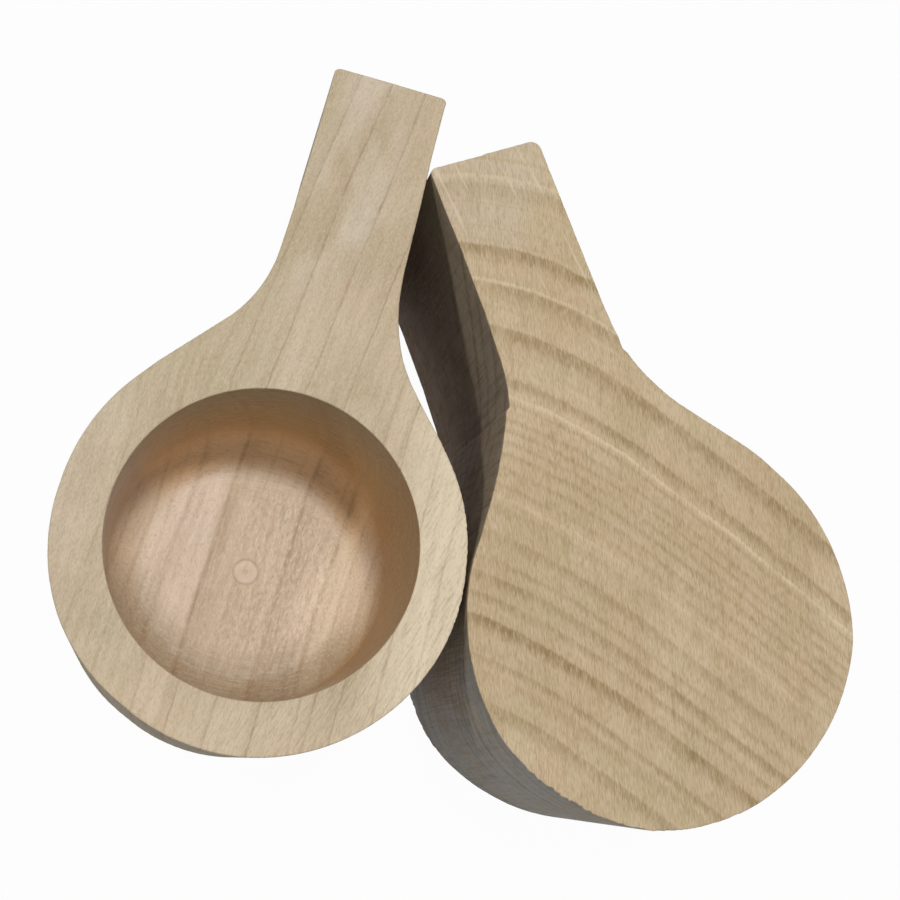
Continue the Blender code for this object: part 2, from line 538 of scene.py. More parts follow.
# Painted cool grey for the cool light on the face-down cup's near left side
PAINTED_COOL_GREY = (0.395, 0.362, 0.335)
GLEAM = (0.800, 0.650, 0.430)

# Sizes of the wood's features in millimetres, across the grain and along it
PATCH_SIZE = (18.0, 32.0)
TINT_SIZE = (13.0, 20.0)
SILK_SIZE = (1.3, 16.0)
THREAD_SIZE = (0.6, 4.0)
BLOTCH_SIZE = (11.0, 14.0)
STREAK_SIZE = (0.7, 26.0)
GROWTH_SIZE = (1.7, 50.0)
CLOUD_SIZE = (15.0, 30.0)
SIDE_PATCH_SIZE = (22.0, 22.0)
TORN_SIZE = (0.42, 5.0)
SCRATCH_SIZE = (1.6, 30.0)
TURNED_SIZE = (0.9, 30.0)
CRINKLE_SIZE = (0.6, 1.8)

# Stretches of noise that a ramp picks out
MIDDLE = (0.36, 0.64)
UPPER = (0.52, 0.70)
LOWER = (0.48, 0.30)
CRESTS = (0.47, 0.75)
HOLLOWS = (0.53, 0.25)
RARE = (0.60, 0.70)

# Shares and relief common to all woods; a ramp is given by its start, its stop and the values there
TINT_DEPTH = 60.0
TINT_SHARE = 0.8
BLOTCHES = (0.30, 0.58, 0.5, 1.0)
BROKEN = (0.30, 0.60, 0.55, 1.0)
WALL_FADE = (FLOOR_LEVEL + 1.0, FLOOR_LEVEL + 12.0)
GLEAM_SHARE = 0.80
FLECK_RELIEF = -1.0
RING_RELIEF = -0.3
BUMP_STRENGTH = 0.7

# Growth rings: where each ends sharply, how dark it is, and over how many millimetres it fades in
STRAIGHT_RINGS = (
    (-38.0, 0.50, 0.9), (-29.0, 0.35, 1.2), (-18.6, 0.80, 0.9), (-18.8, 0.20, 3.0), (-10.3, 1.00, 1.0),
    (-10.5, 0.24, 4.0), (-0.9, 0.95, 0.9), (-1.1, 0.20, 3.5), (9.5, 1.00, 0.9), (9.3, 0.24, 3.0),
    (18.7, 0.60, 1.0), (22.0, 0.75, 1.0), (27.6, 1.00, 0.9), (27.4, 0.25, 2.5), (36.0, 0.75, 0.9),
    (44.0, 0.65, 1.0),
)
BOWL_RINGS = (
    (-46.0, 0.60, 2.0), (-43.0, 0.50, 1.4), (-40.5, 0.60, 1.6), (-38.2, 0.50, 1.4), (-36.0, 0.55, 1.6),
    (-33.0, 0.60, 1.6), (-27.4, 0.60, 2.0), (-27.5, 0.28, 6.0), (-21.8, 0.80, 2.0), (-19.0, 0.45, 1.4),
    (-9.7, 0.90, 2.5), (-9.8, 0.36, 8.0), (-5.8, 0.25, 1.2), (2.5, 0.38, 1.4), (11.6, 0.95, 2.5),
    (11.5, 0.40, 9.0), (22.2, 0.60, 2.6), (26.0, 0.30, 1.0), (30.5, 0.45, 1.6), (36.0, 0.50, 1.6),
)
ARCHED_RINGS = (
    (-15.3, 0.55, 5.0), (-8.5, 0.35, 4.0), (-5.3, 0.65, 2.5), (4.2, 1.00, 4.8), (9.8, 0.55, 2.8),
    (14.8, 0.75, 3.4), (18.6, 0.40, 2.0), (25.0, 0.50, 4.0), (32.0, 0.20, 4.0), (37.7, 0.35, 2.0),
    (41.8, 0.45, 2.2), (45.6, 0.50, 2.0), (48.7, 0.40, 1.8), (51.7, 0.40, 1.5), (54.7, 0.40, 2.0),
    (58.8, 0.40, 1.4), (65.2, 0.75, 3.6), (77.8, 0.75, 6.5), (89.2, 0.65, 5.0), (99.8, 1.00, 5.0),
    (118.0, 0.35, 6.0),
)
ARCHED_PALE_RINGS = ((34.8, 0.40, 1.8), (60.9, 1.00, 1.7), (90.2, 0.65, 1.5), (120.2, 0.60, 1.6))
FULL_SHARE = 0.2
PALE_EDGE = 0.5

# Each finish: base colours, tints that drift over them, colours of fibres and rings, shine and strengths
PLANED = dict(light=(0.595, 0.478, 0.330), deep=(0.525, 0.412, 0.270), rosy=(0.615, 0.468, 0.330),
              olive=(0.500, 0.408, 0.258), line=(0.230, 0.150, 0.080), band=(0.290, 0.185, 0.100),
              roughness=(0.46, 0.60), gloss=0.30, ring_dark=0.60, edge=0.40, jitter=0.6, fleck=0.26,
              fleck_size=(0.30, 1.0), silk=0.10, silk_relief=0.5, growth=0.12, streak=0.06, bump=0.05)
TURNED = dict(light=(0.730, 0.585, 0.450), deep=(0.660, 0.525, 0.390), rosy=(0.745, 0.575, 0.465),
              olive=(0.660, 0.533, 0.382), line=(0.230, 0.120, 0.050), band=(0.270, 0.150, 0.065),
              roughness=(0.42, 0.50), gloss=0.32, ring_dark=0.64, edge=1.10, jitter=0.9, fleck=0.20,
              fleck_size=(0.34, 0.9), silk=0.10, silk_relief=0.1, growth=0.14, streak=0.06, bump=0.05,
              wall_rings=0.36)
SAWN = dict(light=(0.665, 0.525, 0.350), deep=(0.570, 0.432, 0.264), rosy=(0.640, 0.468, 0.308),
            olive=(0.560, 0.440, 0.262), line=(0.240, 0.150, 0.058), band=(0.310, 0.205, 0.088),
            roughness=(0.74, 0.90), gloss=0.15, ring_dark=0.88, edge=0.90, jitter=1.7, fleck=0.40,
            fleck_size=(0.22, 1.9), silk=0.16, silk_relief=0.5, growth=0.55, streak=0.12, bump=0.10)
# The sides are darker and greyer than the sawn underside: partly the wood's colour and partly painted shade
SIDE = dict(light=(0.515, 0.410, 0.282), deep=(0.420, 0.330, 0.222), rosy=(0.470, 0.352, 0.256),
            olive=(0.455, 0.365, 0.240), line=(0.150, 0.095, 0.058), band=(0.170, 0.110, 0.062),
            roughness=(0.60, 0.75), gloss=0.15, ring_dark=0.62, edge=0.8, jitter=1.2, fleck=0.16,
            fleck_size=(0.40, 3.0), silk=0.25, silk_relief=0.5, growth=0.35, streak=0.10, bump=0.09)

# Grain of the face-up cup: how its rings lean along the block, lean more past the bowl, tilt and drift
STRAIGHT_LEAN = 0.012
HANDLE_START = 36.0
HANDLE_EASE = 10.0
HANDLE_LEAN = 0.10
STRAIGHT_TILT = 0.025
STRAIGHT_DRIFT = (26.0, 60.0)
BOWL_LEAN = -0.035
BOWL_BEND_START = 51.0
BOWL_BEND_EASE = 22.0
BOWL_BEND = 0.33
BOWL_DRIFT = (22.0, 45.0)
DRIFT_WIDTH = 3.0

# Grain of the face-down cup: its arch, the slope and dip of its rings, and the way its fibres run
ARCH_MIDDLE = 31.3
ARCH_WIDTH = 46.9
ARCH_HEIGHT = 32.7
ARCH_SLOPE_START = 70.0
ARCH_SLOPE = -0.235
ARCH_DIP = -1.30
ARCH_DRIFT = (30.0, 24.0)
ARCH_DRIFT_WIDTH = 2.4
ARCH_TURN = (0.96, 0.28)

# Planed face: where each shade starts and is full, in millimetres, and how strong it is
FACE_SLANT = 0.1
CREAM_RIGHT = (24.0, 42.0, 0.0, 0.90)
BLUSH_NEAR = (-30.0, -46.0, 0.0, 0.40)
# The haze on the left rim and the clouds along the handle are painted sheen
HAZE_LEFT = (-34.0, -44.0, 0.0, 0.22)
OLIVE_ALONG = (12.0, 40.0)
OLIVE_LEFT = (-2.0, -15.0, 0.0, 0.70)
CLOUDS = (0.38, 0.66)
CLOUD_SHARE = 0.75
CLOUD_ALONG = (52.0, 74.0, 0.2, 1.0)
CLOUD_RIGHT_END = (12.0, 2.0)
CLOUD_LEFT_END = (-15.0, -8.0, 0.3, 1.0)
LIFT_TOWARD = (0.9, -0.45)
LIFTED = (4.0, 34.0, 0.08, 1.0)
TORN_SLANT = -0.30
TORN_SHARE = 0.30
TORN_RELIEF = -3.0

# Sawn underside
RUBBED_LEFT = (54.0, 38.0)
RUBBED_END = (84.0, 98.0, 0.0, 0.45)
SCRATCH_TURN = (0.75, 0.66)
SCRATCHES = (0.62, 0.68)
SCRATCHED_END = (78.0, 90.0, 0.0, 0.5)
SCRATCH_RELIEF = -0.5

# Sawn sides
# Painted reddish shade low on the left side, where the face-down cup faces the other cup
GAP_SHADE_LOW = (64.0, 44.0)
GAP_SHADE_LEFT = (74.0, 60.0)
GAP_SHADE_PATCHES = (0.30, 0.62, 0.45, 0.80)
# Painted cool grey on the near left side, for the cool light there
COOL_GREY_NEAR = (2.0, -20.0)
COOL_GREY_LEFT = (124.0, 100.0)
COOL_GREY_PATCHES = (0.36, 0.60, 0.25, 0.85)
SAW_SLANT = 0.06
FINE_ACROSS = 1.5
FINE_UPWARD = 0.020
DEEP_ACROSS = 0.55
DEEP_UPWARD = 0.008
SHARP_PAST_FOOT = (4.0, 22.0, 0.30, 1.0)
SHARP_BEFORE_END = (70.0, 52.0, 0.40, 1.0)
FINE_SHARE = 0.32
FINE_PALE = (0.38, 0.30, 0.0, 0.28)
DEEP_DARK = (0.56, 0.62, 0.0, 0.36)
FINE_RELIEF = -2.0
DEEP_RELIEF = -3.0

# Bowl of the face-up cup: shades of its floor, corner and wall, mostly painted light and shade
# Painted sheen on the floor's left
ROSE_LEFT = (-9.0, -14.0, 0.0, 0.70)
ROSE_INSIDE = (34.0, 26.0)
# Painted shade in the near corner, with cream above it
NEAR_SIDE = (0.0, -20.0)
BEIGE_OUTSIDE = (20.0, 30.0)
BEIGE_LOW = (FLOOR_LEVEL + 16.0, FLOOR_LEVEL + 6.0, 0.0, 0.90)
CREAM_HIGH = (FLOOR_LEVEL + 12.0, FLOOR_LEVEL + 26.0, 0.0, 0.35)
# Painted sheen on the floor's right
SHEEN_RIGHT = (18.0, 22.0)
SHEEN_INSIDE = (32.0, 27.0)
SHEEN_NEAR = (14.0, 4.0, 0.0, 0.28)
# Painted glow in the far corner, painted shade on the far wall, darker towards its rim, and on the right
# wall
AMBER_OUTSIDE = (28.0, 33.0)
AMBER_FAR = (10.0, 25.0, 0.0, 0.90)
FAR_TOWARD = (0.6, 0.8)
FAR_SIDE = (-22.0, 14.0, 0.0, 0.85)
WALL_HIGH = (FLOOR_LEVEL + 4.0, FLOOR_LEVEL + 24.0)
DUSK_HIGH = (FLOOR_LEVEL + 24.0, RIM_LEVEL, 0.0, 0.90)
UMBER_HIGH = (FLOOR_LEVEL + 1.0, FLOOR_LEVEL + 10.0)
UMBER_RIGHT = (22.0, 34.0, 0.0, 0.80)

# Marks of the cutter in the bowl, by the distance from its middle
TURNED_OUTSIDE = (18.0, 28.0, 0.15, 1.0)
TURNED_SHARE = 0.22
FIGURE_INSIDE = (29.0, 21.0)
FIGURE_OUTSIDE = (3.4, 6.0, 0.1, 1.0)
FIGURE_RIGHT = (-10.0, 8.0, 0.45, 1.0)
FIGURE_ROSY = 0.60
FIGURE_DARK = 0.55
DISC_INSIDE = (3.3, 2.9)
DISC_OUTSIDE = (1.2, 2.4, 0.4, 1.0)
DISC_SHARE = 0.60
GROOVE_INSIDE = (4.0, 3.6)
GROOVE_OUTSIDE = (3.0, 3.4, 0.0, 0.40)
TURNED_RELIEF = -1.0
FIGURE_RELIEF = 1.2


def straight_grain(graph, x, y, z):
    """Growth rings that stand upright and run along the handle, leaning a little beyond the bowl."""
    past_bowl = graph.math("SMOOTH_MAX", graph.add(y, -HANDLE_START), 0.0, HANDLE_EASE)
    lean = graph.add(graph.times(y, STRAIGHT_LEAN), graph.times(past_bowl, HANDLE_LEAN))
    drift = fibre(graph, (x, y, z), STRAIGHT_DRIFT)
    tilt = graph.times(graph.add(z, -RIM_LEVEL), STRAIGHT_TILT)
    rings = graph.add(x, graph.times(lean, -1.0), tilt, centred(graph, drift, DRIFT_WIDTH))
    return rings, (rings, y, z)


def bowl_grain(graph, x, y, z):
    """Rings lower in the block, counted from right to left, leaning over in the upper part of the wall."""
    above = graph.math("SMOOTH_MAX", graph.add(z, -BOWL_BEND_START), 0.0, BOWL_BEND_EASE)
    drift = centred(graph, fibre(graph, (x, y, z), BOWL_DRIFT), DRIFT_WIDTH)
    place = graph.add(x, graph.times(y, BOWL_LEAN), graph.times(above, BOWL_BEND), drift)
    return graph.times(place, -1.0), (place, y, z)


def arched_grain(graph, x, y, z):
    """Growth rings cut at a slant, so that they cross the block in broad arches."""
    sideways = graph.times(graph.add(x, -ARCH_MIDDLE), 1 / ARCH_WIDTH)
    bend = graph.math("LOGARITHM", graph.math("COSH", sideways), math.e)
    slope = graph.times(graph.add(x, -ARCH_SLOPE_START), ARCH_SLOPE)
    dip = graph.times(graph.add(z, -RIM_LEVEL), ARCH_DIP)
    drift = centred(graph, fibre(graph, (x, y, z), ARCH_DRIFT), ARCH_DRIFT_WIDTH)
    rings = graph.add(y, graph.times(bend, ARCH_HEIGHT), slope, dip, drift)
    across, along = turned_axes(graph, x, y, ARCH_TURN)
    return rings, (across, along, z)


def toward(graph, x, y, direction):
    """How far a point lies in a direction, given as its shares of x and y."""
    share_x, share_y = direction
    return graph.add(graph.times(x, share_x), graph.times(y, share_y))


def turned_axes(graph, x, y, turn):
    """Places across and along a slanting run of fibres, given as its shares of x and y."""
    share_x, share_y = turn
    return toward(graph, x, y, (share_x, share_y)), toward(graph, y, x, (share_x, -share_y))


def from_middle(graph, x, y):
    """Distance from the axis of the bowl."""
    return graph.math("SQRT", graph.add(graph.times(x, x), graph.times(y, y)))


def fibre(graph, grain, size, detail=SOFT):
    """Noise drawn out along the grain: size is its width and length in millimetres."""
    across, along, depth = grain
    width, length = size
    sideways = graph.times(across, 1 / width)
    lengthways = graph.times(along, 1 / length)
    inward = graph.times(depth, 1 / width)
    return graph.noise(graph.vector(sideways, lengthways, inward), detail)


def centred(graph, value, width):
    """Noise moved to swing about zero by half the width to each side."""
    return graph.times(graph.add(value, -0.5), width)


def ring_shade(graph, rings, table, edge):
    """From 0 to 1: each ring fades in from one side, stays dark a while and ends at its place."""
    total = 0.0
    for place, strength, fade in table:
        rise = graph.ramp(rings, place - fade, place - FULL_SHARE * fade, 0.0, strength)
        fall = graph.ramp(rings, place - edge / 2, place + edge / 2, 1.0, 0.0)
        total = graph.math("MAXIMUM", total, graph.times(rise, fall))
    return total


def base_colour(graph, grain, finish):
    """Two base colours in soft patches, and two tints that drift over them."""
    across, along, depth = grain
    patches = fibre(graph, grain, PATCH_SIZE, ROUGHEST)
    colour = graph.mix(graph.ramp(patches, *MIDDLE), finish["deep"], finish["light"])
    tint = fibre(graph, (across, along, graph.add(depth, TINT_DEPTH)), TINT_SIZE, ROUGH)
    colour = graph.mix(graph.ramp(tint, *UPPER, 0.0, TINT_SHARE), colour, finish["rosy"])
    return graph.mix(graph.ramp(tint, *LOWER, 0.0, TINT_SHARE), colour, finish["olive"])


def with_growth(graph, colour, finish, rings, grain):
    """Faint bands that follow the growth rings."""
    _, along, depth = grain
    growth = fibre(graph, (rings, along, depth), GROWTH_SIZE, ROUGH)
    colour = graph.mix(graph.ramp(growth, *UPPER, 0.0, finish["growth"]), colour, finish["olive"])
    return graph.mix(graph.ramp(growth, *LOWER, 0.0, finish["growth"]), colour, finish["rosy"])


def with_rings(graph, colour, finish, tables, rings, grain, z):
    """The dark growth rings and the pale ones, and how dark it is at each point."""
    dark_rings, pale_rings = tables
    threads = fibre(graph, grain, THREAD_SIZE)
    wavy = graph.add(rings, centred(graph, threads, finish["jitter"]))
    shade = ring_shade(graph, wavy, dark_rings, finish["edge"])
    blotch = graph.ramp(fibre(graph, grain, BLOTCH_SIZE, ROUGH), *BLOTCHES)
    broken = graph.ramp(threads, *BROKEN)
    if "wall_rings" in finish:
        shade = graph.times(shade, graph.ramp(z, *WALL_FADE, 1.0, finish["wall_rings"]))
    colour = graph.mix(graph.times(shade, blotch, broken, finish["ring_dark"]), colour, finish["band"])
    if pale_rings:
        glow = ring_shade(graph, wavy, pale_rings, PALE_EDGE)
        colour = graph.mix(graph.times(glow, blotch, GLEAM_SHARE), colour, GLEAM)
    return colour, shade


def with_flecks(graph, colour, finish, grain):
    """Short dark and pale fibres and a few long streaks, and the noise of the short ones."""
    flecks = fibre(graph, grain, finish["fleck_size"])
    colour = graph.mix(graph.ramp(flecks, *CRESTS, 0.0, finish["fleck"]), colour, finish["line"])
    colour = graph.mix(graph.ramp(flecks, *HOLLOWS, 0.0, finish["fleck"]), colour, PALE)
    streaks = fibre(graph, grain, STREAK_SIZE)
    colour = graph.mix(graph.ramp(streaks, *RARE, 0.0, finish["streak"]), colour, finish["line"])
    return colour, flecks


def set_shader(graph, finish, colour, height, roughness):
    """Colour, relief and shine put onto the material's shader."""
    bump = graph.node("ShaderNodeBump")
    bump.inputs["Strength"].default_value = BUMP_STRENGTH
    bump.inputs["Distance"].default_value = finish["bump"] / MILLIMETRES
    graph.put(height, bump.inputs["Height"])
    graph.put(colour, graph.shader.inputs["Base Color"])
    graph.put(bump.outputs[0], graph.shader.inputs["Normal"])
    graph.put(roughness, graph.shader.inputs["Roughness"])
    graph.shader.inputs["Specular IOR Level"].default_value = finish["gloss"]


def wood(name, grain_of, tables, finish, shades=None, marks=None):
    """A bare wood: soft patches and shades, growth rings, short dark fibres and the tool's own marks.

    shades changes the colour from place to place. marks does too, and also gives the relief of its marks.
    """
    graph = Graph(name)
    x, y, z = graph.place()
    rings, grain = grain_of(graph, x, y, z)
    colour = base_colour(graph, grain, finish)
    if shades:
        colour = shades(graph, colour, finish, x, y, z)
    silk = fibre(graph, grain, SILK_SIZE, ROUGHEST)
    colour = graph.mix(graph.ramp(silk, *UPPER, 0.0, finish["silk"]), colour, finish["line"])
    colour = with_growth(graph, colour, finish, rings, grain)
    colour, shade = with_rings(graph, colour, finish, tables, rings, grain, z)
    colour, flecks = with_flecks(graph, colour, finish, grain)
    silk_height = graph.times(silk, -finish["silk_relief"])
    height = graph.add(graph.times(flecks, FLECK_RELIEF), silk_height, graph.times(shade, RING_RELIEF))
    if marks:
        colour, relief = marks(graph, colour, finish, x, y, z)
        height = graph.add(height, relief)
    set_shader(graph, finish, colour, height, graph.ramp(silk, *MIDDLE, *finish["roughness"]))
    return graph.material


def planed_shades(graph, colour, finish, x, y, z):
    """Cream on the right, a blush near the foot, a hazy painted sheen on the left, and olive and clouds of
    painted sheen along the handle.
    """
    slanted = graph.add(x, graph.times(y, FACE_SLANT))
    colour = graph.mix(graph.ramp(slanted, *CREAM_RIGHT), colour, CREAM)
    colour = graph.mix(graph.ramp(y, *BLUSH_NEAR), colour, BLUSH)
    # Painted sheen, hazy, on the left rim
    colour = graph.mix(graph.ramp(x, *HAZE_LEFT), colour, HAZE)
    edge = graph.times(graph.ramp(y, *OLIVE_ALONG), graph.ramp(x, *OLIVE_LEFT))
    colour = graph.mix(edge, colour, finish["olive"])
    # Painted sheen in clouds along the handle
    sheen_cloud = graph.ramp(fibre(graph, (x, y, z), CLOUD_SIZE), *CLOUDS)
    handle = graph.times(
        graph.ramp(y, *CLOUD_ALONG),
        graph.ramp(x, *CLOUD_RIGHT_END),
        graph.ramp(x, *CLOUD_LEFT_END),
    )
    return graph.mix(graph.times(sheen_cloud, handle, CLOUD_SHARE), colour, HAZE)


def planed_marks(graph, colour, finish, x, y, z):
    """Long slanting fibres that the plane lifted on the near right side."""
    lifted = graph.ramp(toward(graph, x, y, LIFT_TOWARD), *LIFTED)
    slanted = graph.add(x, graph.times(y, TORN_SLANT))
    torn = fibre(graph, (slanted, y, z), TORN_SIZE, ROUGH)
    dark = graph.times(graph.ramp(torn, *UPPER, 0.0, TORN_SHARE), lifted)
    colour = graph.mix(dark, colour, finish["line"])
    pale = graph.times(graph.ramp(torn, *LOWER, 0.0, TORN_SHARE), lifted)
    colour = graph.mix(pale, colour, PALE)
    return colour, graph.times(torn, lifted, TORN_RELIEF)


def sawn_shades(graph, colour, finish, x, y, z):
    """A smoky sheen where the underside was rubbed near the end of the handle."""
    rubbed = graph.times(graph.ramp(x, *RUBBED_LEFT), graph.ramp(y, *RUBBED_END))
    return graph.mix(rubbed, colour, HAZE)


def sawn_marks(graph, colour, finish, x, y, z):
    """Pale scratches across the rubbed end of the underside."""
    across, along = turned_axes(graph, x, y, SCRATCH_TURN)
    scratch = fibre(graph, (across, along, z), SCRATCH_SIZE)
    pale = graph.times(graph.ramp(scratch, *SCRATCHES), graph.ramp(y, *SCRATCHED_END))
    return graph.mix(pale, colour, PALE), graph.times(scratch, SCRATCH_RELIEF)


def side_shades(graph, colour, finish, x, y, z):
    """On the face-down cup: a reddish painted shade low on the left, facing the other cup, and painted cool
    grey on the near left.
    """
    patches = fibre(graph, (x, y, z), SIDE_PATCH_SIZE, ROUGH)
    # Painted shade low on the side that faces the other cup
    low = graph.times(graph.ramp(z, *GAP_SHADE_LOW), graph.ramp(x, *GAP_SHADE_LEFT))
    colour = graph.mix(graph.times(low, graph.ramp(patches, *GAP_SHADE_PATCHES)), colour, PAINTED_GAP_SHADE)
    # Painted cool grey where the cool light falls on the near left
    near = graph.times(graph.ramp(y, *COOL_GREY_NEAR), graph.ramp(x, *COOL_GREY_LEFT))
    return graph.mix(graph.times(near, graph.ramp(patches, *COOL_GREY_PATCHES)), colour, PAINTED_COOL_GREY)


def upright_noise(graph, x, y, z, across, upward):
    """Noise drawn out upwards: its steps to the millimetre across and upward."""
    place = graph.vector(graph.times(x, across), graph.times(y, across), graph.times(z, upward))
    return graph.noise(place, SOFT)


def saw_lines(graph, colour, finish, x, y, z):
    """Upright lines that a bandsaw leaves on the sides, a few of them deep and a few scratched pale."""
    slanted = graph.add(x, graph.times(z, SAW_SLANT))
    fine = upright_noise(graph, slanted, y, z, FINE_ACROSS, FINE_UPWARD)
    deep = upright_noise(graph, slanted, y, z, DEEP_ACROSS, DEEP_UPWARD)
    sharp = graph.times(graph.ramp(y, *SHARP_PAST_FOOT), graph.ramp(y, *SHARP_BEFORE_END))
    fine_dark = graph.times(graph.ramp(fine, *UPPER, 0.0, FINE_SHARE), sharp)
    colour = graph.mix(fine_dark, colour, finish["line"])
    colour = graph.mix(graph.times(graph.ramp(fine, *FINE_PALE), sharp), colour, PALE)
    colour = graph.mix(graph.times(graph.ramp(deep, *DEEP_DARK), sharp), colour, finish["line"])
    return colour, graph.add(graph.times(fine, FINE_RELIEF), graph.times(deep, DEEP_RELIEF))


def bowl_shades(graph, colour, finish, x, y, z):
    """Painted light and shade on the floor and near side of the bowl, then on its far and right walls."""
    radius = from_middle(graph, x, y)
    colour = floor_shades(graph, colour, radius, x, y, z)
    return wall_shades(graph, colour, radius, x, y, z)


def floor_shades(graph, colour, radius, x, y, z):
    """A rosy painted sheen on the floor's left, beige painted shade in the near corner, cream above it and a
    painted sheen on the right.
    """
    # Painted sheen on the floor's left
    rosy = graph.times(graph.ramp(x, *ROSE_LEFT), graph.ramp(radius, *ROSE_INSIDE))
    colour = graph.mix(rosy, colour, ROSE)
    # Painted shade in the near corner
    near = graph.ramp(y, *NEAR_SIDE)
    corner = graph.times(graph.ramp(radius, *BEIGE_OUTSIDE), graph.ramp(z, *BEIGE_LOW))
    colour = graph.mix(graph.times(near, corner), colour, BEIGE)
    colour = graph.mix(graph.times(near, graph.ramp(z, *CREAM_HIGH)), colour, CREAM)
    # Painted sheen on the floor's right
    sheen = graph.times(
        graph.ramp(x, *SHEEN_RIGHT),
        graph.ramp(radius, *SHEEN_INSIDE),
        graph.ramp(y, *SHEEN_NEAR),
    )
    return graph.mix(sheen, colour, CREAM)


def wall_shades(graph, colour, radius, x, y, z):
    """Painted light and shade: an amber glow in the far corner, golden shade on the far wall, dusky towards
    its rim and umber shade on the right.
    """
    # Painted glow of light thrown back into the far corner
    corner = graph.times(graph.ramp(radius, *AMBER_OUTSIDE), graph.ramp(y, *AMBER_FAR))
    colour = graph.mix(corner, colour, AMBER)
    # Painted shade on the far wall, golden below and dusky towards the rim
    far = graph.ramp(toward(graph, x, y, FAR_TOWARD), *FAR_SIDE)
    colour = graph.mix(graph.times(graph.ramp(z, *WALL_HIGH), far), colour, WALL)
    colour = graph.mix(graph.times(graph.ramp(z, *DUSK_HIGH), far), colour, DUSK)
    # Painted shade on the right wall
    right = graph.times(graph.ramp(z, *UMBER_HIGH), graph.ramp(x, *UMBER_RIGHT))
    return graph.mix(right, colour, UMBER)


def turning_marks(graph, colour, finish, x, y, z):
    """Fine uneven rings from the cutter, the crinkled figure of the floor and the disc at its centre."""
    radius = from_middle(graph, x, y)
    turned = fibre(graph, (graph.add(radius, z), x, y), TURNED_SIZE, ROUGH)
    outside = graph.ramp(radius, *TURNED_OUTSIDE)
    dark = graph.times(graph.ramp(turned, *UPPER, 0.0, TURNED_SHARE), outside)
    colour = graph.mix(dark, colour, finish["line"])
    pale = graph.times(graph.ramp(turned, *LOWER, 0.0, TURNED_SHARE), outside)
    colour = graph.mix(pale, colour, PALE)
    crinkle = fibre(graph, (x, y, z), CRINKLE_SIZE)
    around = graph.times(graph.ramp(radius, *FIGURE_INSIDE), graph.ramp(radius, *FIGURE_OUTSIDE))
    figured = graph.times(graph.ramp(x, *FIGURE_RIGHT), around)
    rosy = graph.times(graph.ramp(crinkle, *UPPER, 0.0, FIGURE_ROSY), figured)
    colour = graph.mix(rosy, colour, ROSE)
    dark = graph.times(graph.ramp(crinkle, *LOWER, 0.0, FIGURE_DARK), figured)
    colour = graph.mix(dark, colour, BEIGE)
    colour = centre_mark(graph, colour, radius)
    turned_height = graph.times(turned, outside, TURNED_RELIEF)
    return colour, graph.add(turned_height, graph.times(crinkle, figured, FIGURE_RELIEF))


def centre_mark(graph, colour, radius):
    """A rosy disc at the middle of the floor and the darker groove around it."""
    disc = graph.times(graph.ramp(radius, *DISC_INSIDE), graph.ramp(radius, *DISC_OUTSIDE))
    colour = graph.mix(graph.times(disc, DISC_SHARE), colour, ROSE)
    groove = graph.times(graph.ramp(radius, *GROOVE_INSIDE), graph.ramp(radius, *GROOVE_OUTSIDE))
    return graph.mix(groove, colour, BEIGE)


# Stage

def make_camera():
    """The camera that took the photograph, as fitted to it."""
    data = bpy.data.cameras.new("camera")
    data.lens = CAMERA_LENS
    data.sensor_width = CAMERA_SENSOR
    data.clip_start = CAMERA_NEAREST
    camera = bpy.data.objects.new("camera", data)
    camera.location = CAMERA_PLACE
    camera.rotation_euler = [math.radians(angle) for angle in CAMERA_TURN]
    bpy.context.scene.collection.objects.link(camera)
    bpy.context.scene.camera = camera


def make_lamp(name, place, size, power, colour):
    """A round soft lamp that faces the middle of the object."""
    data = bpy.data.lights.new(name, "AREA")
    data.shape = "DISK"
    data.size = size
    data.energy = power
    data.color = colour
    lamp = bpy.data.objects.new(name, data)
    lamp.location = place
    middle = (Vector(cad_low) + Vector(cad_high)) / 2
    lamp.rotation_euler = (Vector(place) - middle).to_track_quat("Z", "Y").to_euler()
    bpy.context.scene.collection.objects.link(lamp)


def seen_directly(nodes, links):
    """1 for what the camera, a mirror or glass sees, 0 for what lights the object."""
    path = nodes.new("ShaderNodeLightPath")
    total = path.outputs["Is Camera Ray"]
    for name in ("Is Glossy Ray", "Is Transmission Ray"):
        either = nodes.new("ShaderNodeMath")
        either.operation = "MAXIMUM"
        links.new(total, either.inputs[0])
        links.new(path.outputs[name], either.inputs[1])
        total = either.outputs[0]
    return total


def make_sky():
    """A dim sky for light that looks white itself."""
    world = bpy.data.worlds.new("sky")
    bpy.context.scene.world = world
    world.use_nodes = True
    nodes, links = world.node_tree.nodes, world.node_tree.links
    light = nodes["Background"]
    light.inputs["Color"].default_value = SKY_COLOUR
    light.inputs["Strength"].default_value = SKY_STRENGTH
    white = nodes.new("ShaderNodeBackground")
    white.inputs["Color"].default_value = WHITE
    both = nodes.new("ShaderNodeMixShader")
    links.new(seen_directly(nodes, links), both.inputs[0])
    links.new(light.outputs[0], both.inputs[1])
    links.new(white.outputs[0], both.inputs[2])
    links.new(both.outputs[0], nodes["World Output"].inputs["Surface"])


